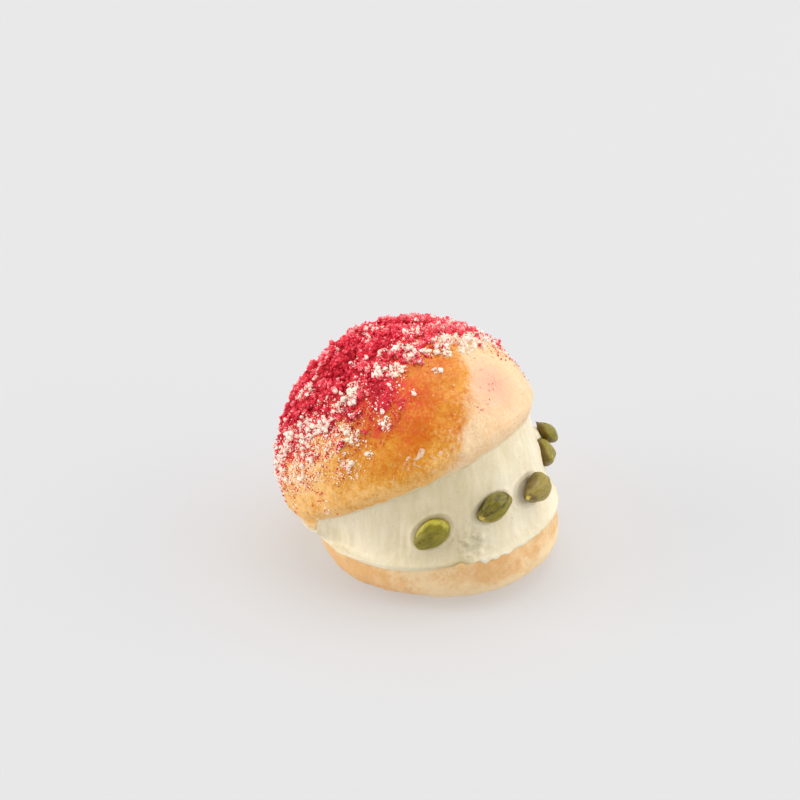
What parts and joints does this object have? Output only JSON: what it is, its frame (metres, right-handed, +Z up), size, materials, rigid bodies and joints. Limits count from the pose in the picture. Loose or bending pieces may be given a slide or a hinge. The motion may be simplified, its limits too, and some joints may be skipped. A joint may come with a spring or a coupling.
{
  "type": "maritozzo",
  "caption": "Round sweet bun opened from the front, filled with pistachio cream, kernels pressed into the cream, crumb topping on the crust.",
  "frame": {"origin": "middle of the flat spot that the bun rests on", "axes": "+Z up, the cut opens towards -Y, the hinge of uncut crust is at +Y"},
  "size_m": [0.0882, 0.0956, 0.0786],
  "materials": {
    "crust": "glazed golden bread crust, satin at the rims",
    "cream": "smooth satin whipped cream",
    "pistachio": "satin peeled kernel",
    "white_crumb": "matte crumbly sugar and flour crumb",
    "red_crumb": "matte dried fruit powder on crumb"
  },
  "bodies": {
    "root": {"bun": "crust", "cream": "cream", "pistachio_1": "pistachio", "pistachio_2": "pistachio", "pistachio_3": "pistachio", "pistachio_4": "pistachio", "pistachio_5": "pistachio"}
  },
  "joints": []
}
